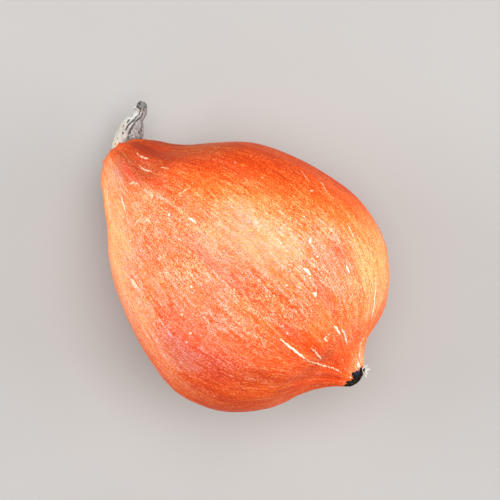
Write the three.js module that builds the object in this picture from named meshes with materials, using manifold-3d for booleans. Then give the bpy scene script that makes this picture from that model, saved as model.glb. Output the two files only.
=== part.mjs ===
// Red kuri squash: a teardrop winter squash lying on its belly, neck drooping, with its dried stem and the
// papery rest of its flower. Millimetres, +Z up. The origin is the middle of the small flat spot that it
// rests on, +X points to the blossom end, the neck and stem are at -X, and the stem bends towards +Y.
import * as THREE from 'three';
import { mergeVertices } from 'three/addons/utils/BufferGeometryUtils.js';
import Module from 'manifold-3d';

const wasm = await Module();
wasm.setup();

// How the fruit lies.
const TILT = THREE.MathUtils.degToRad(12.5); // the neck end hangs this far below level
const AXIS_HEIGHT = 70; // height of the fruit's axis above the resting spot
const REST_STATION = 79.5; // where on the axis that is, from the blossom end

// The fruit's outline, as [distance from the blossom end, radius], blossom scar first and neck last.
const OUTLINE = [
  [0, 0], [1.3, 5], [5, 9.2], [10, 15], // nipple
  [14.2, 21.8], [17.8, 31.5], [22.5, 43.5], [31.8, 55.5], [46, 66.2], // shoulder
  [70, 72.4], [99.5, 68.2], [127.5, 58.2], // belly
  [146, 45], [157.5, 33.8], [169.5, 25], [179.5, 18.8], [188, 10.6], [189.5, 0], // neck
];
// The fruit grew a little crooked: sideways offset of its middle, as [distance from the blossom end, offset].
const SWAY = [[0, -0.5], [12, 0.5], [30, 0], [70, 0], [125, 0.7], [158, -1.6], [174, 0], [190, -0.5]];
const SHOULDER_LEAN = 3; // the +Y shoulder stands this much nearer to the blossom end
const NECK_BEND_START = 150; // from here on the neck curves down
const NECK_BEND_RADIUS = 85;
const LOBES = 13; // shallow furrows run from end to end
const BELLY_FURROW = 0.5; // furrow depth at the belly
const END_FURROW = 1.2; // and where the furrows crowd together at the nipple and the neck
const AROUND = 5 * LOBES; // facets around the fruit
const RINGS_PER_SPAN = 3; // rings between two points of the outline

// The stem: its middle line from inside the neck's end to the broken tip, measured from the neck's end.
const STEM_LINE = [
  [5.8, -3.2, 4], [1.4, 3.7, 0], [-3.4, 11.2, -1], [-7, 18.8, -0.5],
  [-8.2, 23.5, 0.5], [-8, 27.6, 1.8], [-9.2, 30, 3.6], [-10.8, 31.4, 5.4],
];
// Its radius, as [share of the length, radius]: a flared foot, a thick stalk, a pinch and a frayed end.
const STEM_OUTLINE = [
  [0, 0], [0.02, 8.4], [0.2, 8.3], [0.42, 7.4], [0.6, 6.3], [0.68, 5.2], [0.74, 3.9],
  [0.81, 3], [0.92, 2.9], [0.985, 3], [1, 0],
];
const STEM_RIDGES = 6;
const STEM_RIDGE_DEPTH = 0.11; // as a share of the radius
const STEM_RINGS = 32;
const STEM_AROUND = 6 * STEM_RIDGES;

// The rest of the flower: a torn papery cup beside the middle of the blossom scar.
const CUP_PLACE = new THREE.Vector3(-2, 5.3, 3.3); // from the blossom end
const CUP_DIRECTION = new THREE.Vector3(0.65, 0.45, 0.61).normalize();
const CUP_RADIUS = 2.9;
const CUP_HEIGHT = 3.6;
const CUP_WALL = 0.8;
const CUP_AROUND = 24;
const CUP_TEARS = 4; // notches in its rim
const CUP_TEAR_DEPTH = 0.8;

const GAP = 0.3; // clearance between a piece and the fruit it grows on

const orange = new THREE.MeshStandardMaterial({ color: 0xe8602c, roughness: 0.5, metalness: 0 });
const dryStalk = new THREE.MeshStandardMaterial({ color: 0xbdb4a2, roughness: 0.9, metalness: 0 });
const dryPetal = new THREE.MeshStandardMaterial({ color: 0xc9c4b8, roughness: 0.9, metalness: 0 });

// A closed geometry as a solid for cutting. A lathe's seam and poles are merged, and the slivers that
// have no area at the poles are dropped.
function toSolid(geometry) {
  geometry.deleteAttribute('normal');
  geometry.deleteAttribute('uv');
  const merged = mergeVertices(geometry, 1e-4);
  const corners = merged.index.array;
  const triangles = [];
  for (let i = 0; i < corners.length; i += 3) {
    const [a, b, c] = corners.slice(i, i + 3);
    if (a !== b && b !== c && c !== a) triangles.push(a, b, c);
  }
  return new wasm.Manifold(new wasm.Mesh({
    numProp: 3,
    vertProperties: merged.attributes.position.array,
    triVerts: new Uint32Array(triangles),
  }));
}

// And back again.
function toGeometry(solid) {
  const mesh = solid.getMesh();
  const geometry = new THREE.BufferGeometry();
  geometry.setAttribute('position', new THREE.BufferAttribute(mesh.vertProperties, 3));
  geometry.setIndex(new THREE.BufferAttribute(mesh.triVerts, 1));
  geometry.computeVertexNormals();
  return geometry;
}

// Moves every point of a lathe turned about Y: place(distance along the axis, angle, radius) says where to.
function reshape(lathe, place) {
  const points = lathe.attributes.position;
  for (let i = 0; i < points.count; i++) {
    const radius = Math.hypot(points.getX(i), points.getZ(i));
    const angle = Math.atan2(points.getZ(i), points.getX(i));
    const moved = place(points.getY(i), angle, radius);
    points.setXYZ(i, moved.x, moved.y, moved.z);
  }
  return lathe;
}

const spline = (points) => new THREE.SplineCurve(points.map(([x, y]) => new THREE.Vector2(x, y)));
const outline = spline(OUTLINE).getPoints(RINGS_PER_SPAN * (OUTLINE.length - 1));
const sway = spline(SWAY).getPoints(60);

// The value of a curve, given by its points in order, at a distance along the fruit.
function valueAt(points, distance) {
  const next = points.findIndex((point) => point.x > distance);
  if (next === -1) return points.at(-1).y;
  if (next === 0) return points[0].y;
  const [from, to] = [points[next - 1], points[next]];
  return from.y + (to.y - from.y) * (distance - from.x) / (to.x - from.x);
}

// The middle line of the fruit, from the blossom end to the neck's end: straight, then curving down.
function axisPoint(station) {
  const angle = Math.max(station - NECK_BEND_START, 0) / NECK_BEND_RADIUS;
  const along = Math.min(station, NECK_BEND_START) + NECK_BEND_RADIUS * Math.sin(angle);
  const middle = new THREE.Vector3(-along, valueAt(sway, station), -NECK_BEND_RADIUS * (1 - Math.cos(angle)));
  const up = new THREE.Vector3(-Math.sin(angle), 0, Math.cos(angle));
  return { middle, up };
}

// The fruit's skin, grown outwards by a clearance if one is given. Angle 0 is +Y, a quarter turn is up.
function fruitShape(clearance = 0) {
  const turned = new THREE.LatheGeometry(outline.map((p) => new THREE.Vector2(Math.max(p.y, 0), p.x)), AROUND);
  const { smoothstep } = THREE.MathUtils;
  return reshape(turned, (station, angle, radius) => {
    const { middle, up } = axisPoint(station);
    const nearEnds = 1 - smoothstep(station, 8, 40) + smoothstep(station, 125, 165);
    const furrow = THREE.MathUtils.lerp(BELLY_FURROW, END_FURROW, nearEnds) * smoothstep(radius, 5, 20);
    const lean = SHOULDER_LEAN * smoothstep(station, 11, 20) * (1 - smoothstep(station, 55, 75));
    const reach = radius + furrow * Math.cos(LOBES * (angle - Math.PI / 2)) / 2;
    const outwards = new THREE.Vector3(0, Math.cos(angle), 0).addScaledVector(up, Math.sin(angle));
    middle.x += lean * Math.cos(angle);
    return middle.addScaledVector(outwards, reach + clearance * smoothstep(radius, 0, 6));
  });
}

const lying = new THREE.Group();
lying.rotation.y = -TILT;
lying.position.set(REST_STATION * Math.cos(TILT), 0, AXIS_HEIGHT + REST_STATION * Math.sin(TILT));
lying.updateMatrixWorld();

// The fruit: everything that would lie below the floor is cut off level, which leaves the resting spot.
function makeFruit() {
  const floor = new THREE.BoxGeometry(200, 200, 20).translate(0, 0, -10);
  floor.applyMatrix4(lying.matrixWorld.clone().invert());
  const mesh = new THREE.Mesh(toGeometry(toSolid(fruitShape()).subtract(toSolid(floor))), orange);
  mesh.name = 'fruit';
  return mesh;
}

// The stem: a ridged stalk swept along its line, with its foot hollowed to fit over the neck's end.
function makeStem() {
  const neckEnd = axisPoint(OUTLINE.at(-1)[0]).middle.applyMatrix4(lying.matrixWorld);
  const line = new THREE.CatmullRomCurve3(STEM_LINE.map((p) => new THREE.Vector3(...p)));
  const profile = spline(STEM_OUTLINE).getPoints(STEM_RINGS);
  const turned = new THREE.LatheGeometry(profile.map((p) => new THREE.Vector2(Math.max(p.y, 0), p.x)), STEM_AROUND);
  const stalk = reshape(turned, (share, angle, radius) => {
    const along = THREE.MathUtils.clamp(share, 0, 1);
    const forward = line.getTangentAt(along);
    const side = new THREE.Vector3(0, 0, 1).cross(forward).normalize();
    const up = forward.clone().cross(side);
    const reach = radius * (1 + STEM_RIDGE_DEPTH * Math.cos(STEM_RIDGES * angle));
    const middle = line.getPointAt(along);
    return middle.addScaledVector(up, reach * Math.cos(angle)).addScaledVector(side, reach * Math.sin(angle));
  });
  const neck = fruitShape(GAP).applyMatrix4(lying.matrixWorld).translate(-neckEnd.x, -neckEnd.y, -neckEnd.z);
  const mesh = new THREE.Mesh(toGeometry(toSolid(stalk).subtract(toSolid(neck))), dryStalk);
  mesh.name = 'stem';
  mesh.position.copy(neckEnd);
  return mesh;
}

// The flower's rest: a thin-walled cup with a torn rim, its foot cut to the skin it clings to.
function makeFlowerRemnant() {
  const section = [
    [0, -1], [0.55, -1], [0.85, 1], [1, CUP_HEIGHT - 0.4], [0.9, CUP_HEIGHT], [0.74, CUP_HEIGHT - 0.4],
  ].map(([share, height]) => new THREE.Vector2(share * CUP_RADIUS, height));
  section.push(new THREE.Vector2(0.85 * CUP_RADIUS - CUP_WALL, 1.2), new THREE.Vector2(0, 1.2));
  const cup = reshape(new THREE.LatheGeometry(section, CUP_AROUND), (height, angle, radius) => {
    const high = THREE.MathUtils.smoothstep(height, 1.5, CUP_HEIGHT);
    const torn = height - CUP_TEAR_DEPTH * high * (1 + Math.sin(CUP_TEARS * angle + Math.sin(angle)));
    return new THREE.Vector3(radius * Math.cos(angle), torn, radius * Math.sin(angle));
  });
  const mesh = new THREE.Mesh(undefined, dryPetal);
  mesh.name = 'flower_remnant';
  mesh.position.copy(CUP_PLACE);
  mesh.quaternion.setFromUnitVectors(new THREE.Vector3(0, 1, 0), CUP_DIRECTION);
  mesh.updateMatrix();
  const skin = fruitShape(GAP).applyMatrix4(mesh.matrix.clone().invert());
  mesh.geometry = toGeometry(toSolid(cup).subtract(toSolid(skin)));
  return mesh;
}

lying.add(makeFruit(), makeFlowerRemnant());

const squash = new THREE.Group();
squash.add(lying, makeStem());

export default squash;
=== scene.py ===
"""A red kuri squash lying on its belly: the grown fruit, its dried stem and the rest of its flower.

Lengths in the tables below are in millimetres, as a grower would measure the fruit, and become metres
when a mesh is made. +X points to the blossom end, the neck and the stem are at -X, and +Z is up.
"""

import math

import bmesh
import bpy
import numpy as np
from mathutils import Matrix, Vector, noise


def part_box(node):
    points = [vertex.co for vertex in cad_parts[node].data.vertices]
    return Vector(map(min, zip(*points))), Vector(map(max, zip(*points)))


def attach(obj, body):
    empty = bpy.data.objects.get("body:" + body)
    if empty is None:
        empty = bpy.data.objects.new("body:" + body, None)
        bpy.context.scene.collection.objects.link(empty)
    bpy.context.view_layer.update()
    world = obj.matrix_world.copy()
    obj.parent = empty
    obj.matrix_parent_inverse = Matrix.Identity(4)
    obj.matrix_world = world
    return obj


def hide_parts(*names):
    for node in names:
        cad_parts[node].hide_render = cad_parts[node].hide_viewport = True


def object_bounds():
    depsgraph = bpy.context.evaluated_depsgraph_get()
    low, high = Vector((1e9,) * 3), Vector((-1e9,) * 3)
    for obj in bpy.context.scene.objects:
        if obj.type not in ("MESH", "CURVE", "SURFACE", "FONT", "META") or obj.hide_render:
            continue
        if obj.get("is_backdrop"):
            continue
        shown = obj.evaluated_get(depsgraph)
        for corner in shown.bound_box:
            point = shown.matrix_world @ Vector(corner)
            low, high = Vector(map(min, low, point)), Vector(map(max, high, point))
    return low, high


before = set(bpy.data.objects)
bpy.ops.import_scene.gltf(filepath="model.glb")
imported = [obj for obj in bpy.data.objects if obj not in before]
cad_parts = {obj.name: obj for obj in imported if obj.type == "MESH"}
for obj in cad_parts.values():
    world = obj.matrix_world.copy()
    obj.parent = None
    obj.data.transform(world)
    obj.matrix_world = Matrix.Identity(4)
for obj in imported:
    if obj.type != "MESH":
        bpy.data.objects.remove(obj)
cad_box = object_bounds()


# ------------------------------------------------------------
# The camera hangs straight above the fruit and is turned so that the neck points up and to the left.
# Its lens is a long one, so that the fruit is drawn with little perspective.
MM = 0.001
CAMERA_TURN = math.radians(42.4)  # of the picture's right side, from +X towards +Y
CAMERA_HEIGHT = 850 * MM
CAMERA_OFFSET = Vector((2.8, 11.9, 0)) * MM  # from the middle of the fruit
CAMERA_LENS = 101.98  # in mm, as the sensor's width is
SENSOR_WIDTH = 36
PICTURE_RIGHT = Vector((math.cos(CAMERA_TURN), math.sin(CAMERA_TURN), 0))
PICTURE_UP = Vector((-math.sin(CAMERA_TURN), math.cos(CAMERA_TURN), 0))

fruit_low, fruit_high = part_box("fruit")
fruit_middle = (fruit_low + fruit_high) / 2

camera = bpy.data.objects.new("camera", bpy.data.cameras.new("camera"))
camera.data.lens = CAMERA_LENS
camera.data.sensor_width = SENSOR_WIDTH
camera.location = (fruit_middle.x + CAMERA_OFFSET.x, fruit_middle.y + CAMERA_OFFSET.y, CAMERA_HEIGHT)
camera.rotation_euler = (0, 0, CAMERA_TURN)
bpy.context.scene.collection.objects.link(camera)
bpy.context.scene.camera = camera
bpy.context.scene.view_settings.view_transform = "Standard"


# ------------------------------------------------------------
# The studio: a plain pale table top that runs out paler in the distance, a wide soft light overhead
# and a little to the right, a soft box on either side, and a dim pale room all round. Its own sizes
# are in metres.
FLOOR_SIZE = 12.0
FLOOR_GREY = (0.42, 0.41, 0.40)
FAR_FLOOR = (0.92, 0.93, 0.94)  # paler where the lamps no longer reach
FLOOR_FADE = (0.5, 1.6)  # the distances at which that begins and ends
ROOM_LIGHT = (0.98, 0.99, 1.0)
ROOM_STRENGTH = 0.40
SOFT_BOXES = [  # name, how far right, up the picture and above the fruit, size, watts, colour
    ("overhead", 0.15, 0.10, 1.2, 0.8, 14.0, (1.0, 0.99, 0.97)),
    ("left_box", -0.95, 0.12, 0.45, 0.6, 6.0, (1.0, 0.99, 0.98)),
    ("right_box", 0.95, -0.05, 0.45, 0.6, 5.4, (1.0, 0.99, 0.98)),
]


def new_finish(name):
    """A material with an empty node tree but for its output and its surface shader."""
    material = bpy.data.materials.new(name)
    material.use_nodes = True
    shader = next(n for n in material.node_tree.nodes if n.type == "BSDF_PRINCIPLED")
    return material, shader


def add(shader, kind, inputs=None, **settings):
    """Adds a node beside a shader. Inputs are numbers, colours or other nodes' outputs."""
    tree = shader.id_data
    made = tree.nodes.new("ShaderNode" + kind)
    for name, value in settings.items():
        setattr(made, name, value)
    for name, value in (inputs or {}).items():
        if isinstance(value, bpy.types.NodeSocket):
            tree.links.new(value, made.inputs[name])
        else:
            made.inputs[name].default_value = value
    return made


def wire(shader, socket, value):
    shader.id_data.links.new(value, shader.inputs[socket])


def scaled(shader, place, scale):
    return add(shader, "Mapping", {"Vector": place, "Scale": scale}).outputs["Vector"]


def grain(shader, place, size, stretch=(1, 1, 1), detail=2.0, roughness=0.5, swirl=0.0):
    """Noise with lumps of about that size, in the unit of the place it is laid out on, from 0 to 1."""
    inputs = {"Vector": scaled(shader, place, [s / size for s in stretch]), "Scale": 1.0}
    inputs |= {"Detail": detail, "Roughness": roughness, "Distortion": swirl}
    return add(shader, "TexNoise", inputs).outputs["Fac"]


def step(shader, value, low, high, out_low=0.0, out_high=1.0):
    """Rises smoothly from out_low to out_high as the value goes from low to high."""
    inputs = {"Value": value, "From Min": low, "From Max": high, "To Min": out_low, "To Max": out_high}
    return add(shader, "MapRange", inputs, interpolation_type="SMOOTHSTEP").outputs["Result"]


def maths(shader, operation, first, second=0.0, third=0.0):
    return add(shader, "Math", {0: first, 1: second, 2: third}, operation=operation).outputs["Value"]


def blend(shader, amount, under, over, mode="MIX"):
    """Lays one colour over another by an amount from 0 to 1."""
    mixed = shader.id_data.nodes.new("ShaderNodeMix")
    mixed.data_type = "RGBA"
    mixed.blend_type = mode
    for name, kind, value in (("Factor", "VALUE", amount), ("A", "RGBA", under), ("B", "RGBA", over)):
        socket = next(s for s in mixed.inputs if s.name == name and s.type == kind)
        if isinstance(value, bpy.types.NodeSocket):
            shader.id_data.links.new(value, socket)
        else:
            socket.default_value = (*value, 1) if kind == "RGBA" else value
    return next(s for s in mixed.outputs if s.type == "RGBA")


def make_floor():
    mesh = bpy.data.meshes.new("floor")
    half = FLOOR_SIZE / 2
    corners = [(-half, -half, 0), (half, -half, 0), (half, half, 0), (-half, half, 0)]
    mesh.from_pydata(corners, [], [(0, 1, 2, 3)])
    material, shader = new_finish("table_top")
    place = add(shader, "TexCoord").outputs["Object"]
    cloud = grain(shader, place, 0.09, stretch=(1, 1.6, 1), detail=4)
    darker, lighter = (tuple(share * c for c in FLOOR_GREY) for share in (0.95, 1.03))
    tone = blend(shader, cloud, darker, lighter)
    distance = add(shader, "VectorMath", {0: place}, operation="LENGTH").outputs["Value"]
    tone = blend(shader, step(shader, distance, *FLOOR_FADE), tone, FAR_FLOOR)
    wire(shader, "Base Color", tone)
    wire(shader, "Roughness", step(shader, cloud, 0.3, 0.7, 0.75, 0.9))
    mesh.materials.append(material)
    floor = bpy.data.objects.new("floor", mesh)
    bpy.context.scene.collection.objects.link(floor)
    floor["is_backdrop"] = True


def hang_soft_box(name, right, up, height, size, watts, colour):
    """A square soft light that faces the fruit, from a place measured along the picture's sides."""
    light = bpy.data.objects.new(name, bpy.data.lights.new(name, "AREA"))
    light.data.shape = "SQUARE"
    light.data.size = size
    light.data.energy = watts
    light.data.color = colour
    light.visible_camera = False
    light.location = fruit_middle + right * PICTURE_RIGHT + up * PICTURE_UP + Vector((0, 0, height))
    light.rotation_euler = (light.location - fruit_middle).to_track_quat("Z", "Y").to_euler()
    bpy.context.scene.collection.objects.link(light)


make_floor()
for box in SOFT_BOXES:
    hang_soft_box(*box)

room = bpy.data.worlds.new("room")
room.use_nodes = True
room.node_tree.nodes["Background"].inputs["Color"].default_value = (*ROOM_LIGHT, 1)
room.node_tree.nodes["Background"].inputs["Strength"].default_value = ROOM_STRENGTH
bpy.context.scene.world = room


# ------------------------------------------------------------
# The fruit: one grown body, a round belly drawn out into a drooping neck, with a small nipple where
# the flower sat. Its thin hard rind carries thirteen faint lobes, and it lies on a small flat spot.
TILT = math.radians(12.5)  # the neck end hangs this far below level
AXIS_HEIGHT = 70  # of the fruit's axis above the resting spot
REST_STATION = 79.5  # where on the axis that is, from the blossom end
OUTLINE = [  # distance from the blossom end, radius
    (0, 0), (1.3, 5), (5, 9.2), (10, 15),
    (14.2, 21.8), (17.8, 31.5), (22.5, 43.5), (31.8, 55.5), (46, 66.2),
    (70, 72.4), (99.5, 68.2), (127.5, 58.2),
    (146, 45), (157.5, 33.8), (169.5, 25), (179.5, 18.8), (188, 10.6), (189.5, 0),
]
SWAY = [(0, -0.5), (12, 0.5), (30, 0), (70, 0), (125, 0.7), (158, -1.6), (174, 0), (190, -0.5)]
NIPPLE_SPAN = (8, 40)  # where the nipple widens into the belly
NECK_SPAN = (125, 165)  # and the belly narrows into the neck
SHOULDER_LEAN = 3  # the +Y shoulder stands this much nearer to the blossom end
SHOULDER_SPANS = ((11, 20), (55, 75))  # where the lean grows and where it goes
NECK_BEND_START = 150  # from here on the neck curves down
NECK_BEND_RADIUS = 85
LOBES = 13
BELLY_FURROW = 0.5  # depth of the furrows between the lobes
END_FURROW = 1.2  # and where they crowd together, at the nipple and the neck
FURROWED_RADII = (5, 20)  # they fade out where the fruit is thinner
BELLY_RADIUS = 72
FRUIT_LENGTH = OUTLINE[-1][0]
RINGS = 170
COLUMNS = 270
END_CROWDING = ((2.5, 8), (1.0, 10))  # how much closer the rings are at each end, and how far in
TOP_CROWDING = 0.3  # the columns stand closer together on the upper side
BOX_MARGIN = 0.02  # kept clear inside the frame's box
FLOOR_ROUNDING = 0.3  # how softly the resting spot's edge turns
SMOOTH_SPOT = (0.3, 4)  # up to the first height the skin is smooth, from the second as uneven as ever


def smooth_line(points, steps=16):
    """A smooth line through the points."""
    points = np.array(points, float)
    held = np.vstack([points[:1], points, points[-1:]])
    share = np.linspace(0, 1, steps, endpoint=False)[:, None]
    spans = []
    for before, start, end, after in zip(held, held[1:], held[2:], held[3:]):
        leaving, arriving = (end - before) / 2, (after - start) / 2
        bend = 3 * (end - start) - 2 * leaving - arriving
        twist = 2 * (start - end) + leaving + arriving
        spans.append(start + leaving * share + bend * share**2 + twist * share**3)
    return np.vstack([*spans, points[-1:]])


def ramp(value, low, high):
    """Rises smoothly from 0 to 1 as the value goes from low to high."""
    share = np.clip((value - low) / (high - low), 0, 1)
    return share * share * (3 - 2 * share)


outline = smooth_line(OUTLINE)
sway = smooth_line(SWAY)
skin_length = np.concatenate([[0], np.cumsum(np.hypot(*np.diff(outline, axis=0).T))])


def grown_point(station, turn):
    """The skin's place at a distance from the blossom end and an angle round from the top towards +Y."""
    radius = np.maximum(np.interp(station, *outline.T), 0)
    near_ends = 1 - ramp(station, *NIPPLE_SPAN) + ramp(station, *NECK_SPAN)
    furrow = (BELLY_FURROW + (END_FURROW - BELLY_FURROW) * near_ends) * ramp(radius, *FURROWED_RADII)
    reach = radius + furrow * np.cos(LOBES * turn) / 2
    growing, going = SHOULDER_SPANS
    lean = SHOULDER_LEAN * ramp(station, *growing) * (1 - ramp(station, *going))
    bend = np.maximum(station - NECK_BEND_START, 0) / NECK_BEND_RADIUS
    along = np.minimum(station, NECK_BEND_START) + NECK_BEND_RADIUS * np.sin(bend)
    x = -along + lean * np.sin(turn) - np.sin(bend) * reach * np.cos(turn)
    y = np.interp(station, *sway.T) + reach * np.sin(turn)
    z = -NECK_BEND_RADIUS * (1 - np.cos(bend)) + np.cos(bend) * reach * np.cos(turn)
    x = x + REST_STATION
    level_x = x * math.cos(TILT) - z * math.sin(TILT)
    level_z = x * math.sin(TILT) + z * math.cos(TILT) + AXIS_HEIGHT
    level_z = (level_z + np.hypot(level_z, FLOOR_ROUNDING)) / 2
    return np.stack([level_x, y, level_z], -1) * MM


def fit_to_node(points, node):
    """The scale and shift that make the points' box that of a node of the frame."""
    low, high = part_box(node)
    scale = np.array(high - low) / (points.max(0) - points.min(0))
    return scale, np.array(low) - points.min(0) * scale


whole_length, full_turn = np.linspace(0, FRUIT_LENGTH, 400), np.linspace(0, 2 * math.pi, 721)
all_stations, all_turns = np.meshgrid(whole_length, full_turn)
fruit_scale, fruit_shift = fit_to_node(grown_point(all_stations, all_turns).reshape(-1, 3), "fruit")


def skin_point(station, turn):
    """The same place, once the fruit is fitted to its node in the frame."""
    return grown_point(np.asarray(station, float), np.asarray(turn, float)) * fruit_scale + fruit_shift


# The cork marks: scratches that the growing skin has healed over with pale cork. Each is its width,
# how far it stands out, how whole it is (1 is unbroken), and its line on the skin, as distances from
# the blossom end and degrees round from the top.
CORK_MARKS = [
    (1.6, 0.45, 1.0, [(37.2, -10.3), (34.7, -10.7), (31, -11.3), (26, -12.6), (22.5, -13.8)]),
    (1.1, 0.35, 0.75, [(24, -13.2), (20, -14.8), (15, -16.5), (11.8, -16.3), (8.2, -17.4)]),
    (1.0, 0.2, 0.5, [(36, -11), (31, -13.5), (27, -15)]),  # beside the long ridge
    (1.9, 0.5, 1.0, [(53.5, 19.8), (51, 20.3), (48.3, 20)]),
    (1.9, 0.45, 1.0, [(60, 29.2), (61.5, 31)]),
    (1.6, 0.4, 1.0, [(41.8, 15.2), (40.5, 16.5), (39.5, 15.6)]),
    (1.2, 0.3, 1.0, [(55, 27.5), (54, 28)]),
    (1.3, 0.3, 1.0, [(53, 27.5), (52.2, 28.4)]),
    (1.3, 0.25, 1.0, [(73, 20.4), (70.2, 20.2), (67.5, 20)]),
    (0.9, 0.15, 0.8, [(62, 24), (60, 24.2)]),
    (0.9, 0.15, 0.7, [(59.6, 23.4), (57.4, 23.2)]),
    (1.2, 0.3, 1.0, [(84, 14.7), (83.2, 14.5)]),
    (0.9, 0.3, 1.0, [(82.4, 13.6), (81, 14.8)]),
    (1.6, 0.3, 1.0, [(114.6, 1.4), (112.4, 2.2), (110.4, 2.4), (107.8, 3)]),
    (1.6, 0.25, 1.0, [(41.6, 37.8), (37.6, 38.1)]),
    (1.1, 0.2, 0.6, [(33.7, 35), (29.7, 36)]),
    (1.0, 0.2, 0.6, [(47.6, 41), (46.6, 43)]),
    (1.1, 0.2, 0.85, [(57.4, 51.9), (53.2, 51.8), (49.3, 51.2)]),
    (1.7, 0.2, 0.82, [(66.1, 41.3), (64.2, 41.4), (62.1, 41.9)]),
    (1.7, 0.4, 1.0, [(24.7, 15), (22.5, 16), (20.3, 16)]),
    (1.2, 0.3, 0.95, [(22, 18.8), (19, 20), (16, 20.3)]),
    (1.2, 0.35, 0.9, [(23.3, 7.2), (23.4, 5.3), (21.7, 5.4)]),
    (1.2, 0.25, 0.8, [(24.2, -5), (22.7, -5.5), (20.3, -6.9), (18.4, -8.6)]),
    (1.5, 0.3, 1.0, [(30.5, 57.5), (26.7, 57.9), (23.4, 56), (20.2, 56.4), (17.6, 60)]),
    (1.0, 0.25, 1.0, [(15.5, 70), (12.5, 60.5), (9.2, 53.2), (6.2, 46.5)]),
    (2.1, 0.3, 1.0, [(7.0, 41), (5.4, 40), (4.3, 41), (3.4, 45)]),
    (1.0, 0.15, 0.85, [(4.0, -14.5), (3.1, -15)]),
    (1.0, 0.1, 0.74, [(5.6, 22), (4.3, 24), (3.4, 27)]),
    (1.3, 0.3, 0.72, [(167.5, 23), (163.5, 22), (159, 23.4)]),
    (1.2, 0.35, 0.8, [(159.8, 12.5), (156.5, 12.2), (152.5, 13.4)]),
    (1.3, 0.2, 0.7, [(150.8, 20), (146.2, 20)]),
    (1.8, 0.25, 0.72, [(156.8, -6.4), (155, -3), (151.6, -1.5)]),
    (2.4, 0.25, 0.72, [(147.6, -2), (142, -1.5), (138.6, -3)]),
    (2.2, 0.2, 0.7, [(138, -1), (133, 1)]),
    (1.2, 0.2, 0.9, [(156.6, -19.6), (153.3, -21.2), (150.5, -22.2), (147.8, -23)]),
    (1.9, 0.2, 0.72, [(137.5, -23.4), (137.2, -19.6), (136.8, -15)]),
    (1.8, 0.2, 0.72, [(132.9, -17), (133, -13.6), (129.3, -13.2)]),
    (1.8, 0.3, 1.0, [(124.6, -3.4), (123.2, -3)]),
    (1.1, 0.2, 0.72, [(125.3, 8), (127.8, 8.1), (127.4, 11), (126.6, 13.5)]),
    (0.9, 0.2, 0.7, [(126.3, 1), (123.5, 2)]),
    (0.9, 0.1, 0.5, [(172.4, 1), (165.2, 0)]),
    (1.1, 0.2, 0.85, [(171, -38.5), (165.6, -42), (161.6, -44), (157.9, -46.4), (154, -47.6)]),
    (1.0, 0.15, 0.7, [(151, -50.5), (146, -51.5), (142, -52.5)]),
    (3.6, 0.2, 0.80, [(119.5, -44.0), (116.7, -43.5), (113.5, -42.6)]),
    (1.3, 0.3, 0.8, [(69.8, -6), (69, -6.6)]),
    (1.3, 0.3, 0.9, [(80.5, 50), (79.6, 52)]),
    (0.9, 0.15, 0.7, [(93.8, 60.4), (89.7, 57.9), (85.2, 55.3)]),
    (1.0, 0.15, 0.7, [(85.5, 63.8), (79.5, 60.5), (75, 58), (69, 57)]),
    (1.5, 0.3, 1.0, [(87.9, -18.4), (87.1, -17.8)]),
    (1.4, 0.3, 1.0, [(82.9, -30.4), (82.1, -29.8)]),
    (1.5, 0.3, 1.0, [(73.4, -33.4), (72.6, -32.8)]),
    (1.4, 0.3, 1.0, [(72.7, -38.5), (71.9, -37.9)]),
    # the far side and the underside
    (1.6, 0.4, 1.0, [(118, 95), (112, 97), (105, 96)]),
    (1.2, 0.3, 0.8, [(62, 118), (55, 120), (50, 118)]),
    (1.4, 0.35, 0.9, [(88, -104), (84, -106), (79, -104)]),
    (1.1, 0.2, 0.7, [(134, -92), (124, -96)]),
    (1.3, 0.3, 0.9, [(40, -128), (33, -132), (26, -133)]),
    (1.2, 0.25, 0.7, [(140, 140), (128, 146)]),
]
CORK_REACH = 1.5  # the skin is meshed finely this far out from a mark
CORK_CUTS = 3  # each edge there is cut this many times
CORK_WANDER = (0.45, 2.6)  # how far a mark strays from its line, and over what length
CORK_TAPER = 0.25  # the share of its width that is left at its ends
CORK_FOOT = 0.55  # the skin begins to rise this far out from a mark
BROKEN_CORK = 0.6  # a mark that is no more whole than this has no unbroken heart

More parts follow.
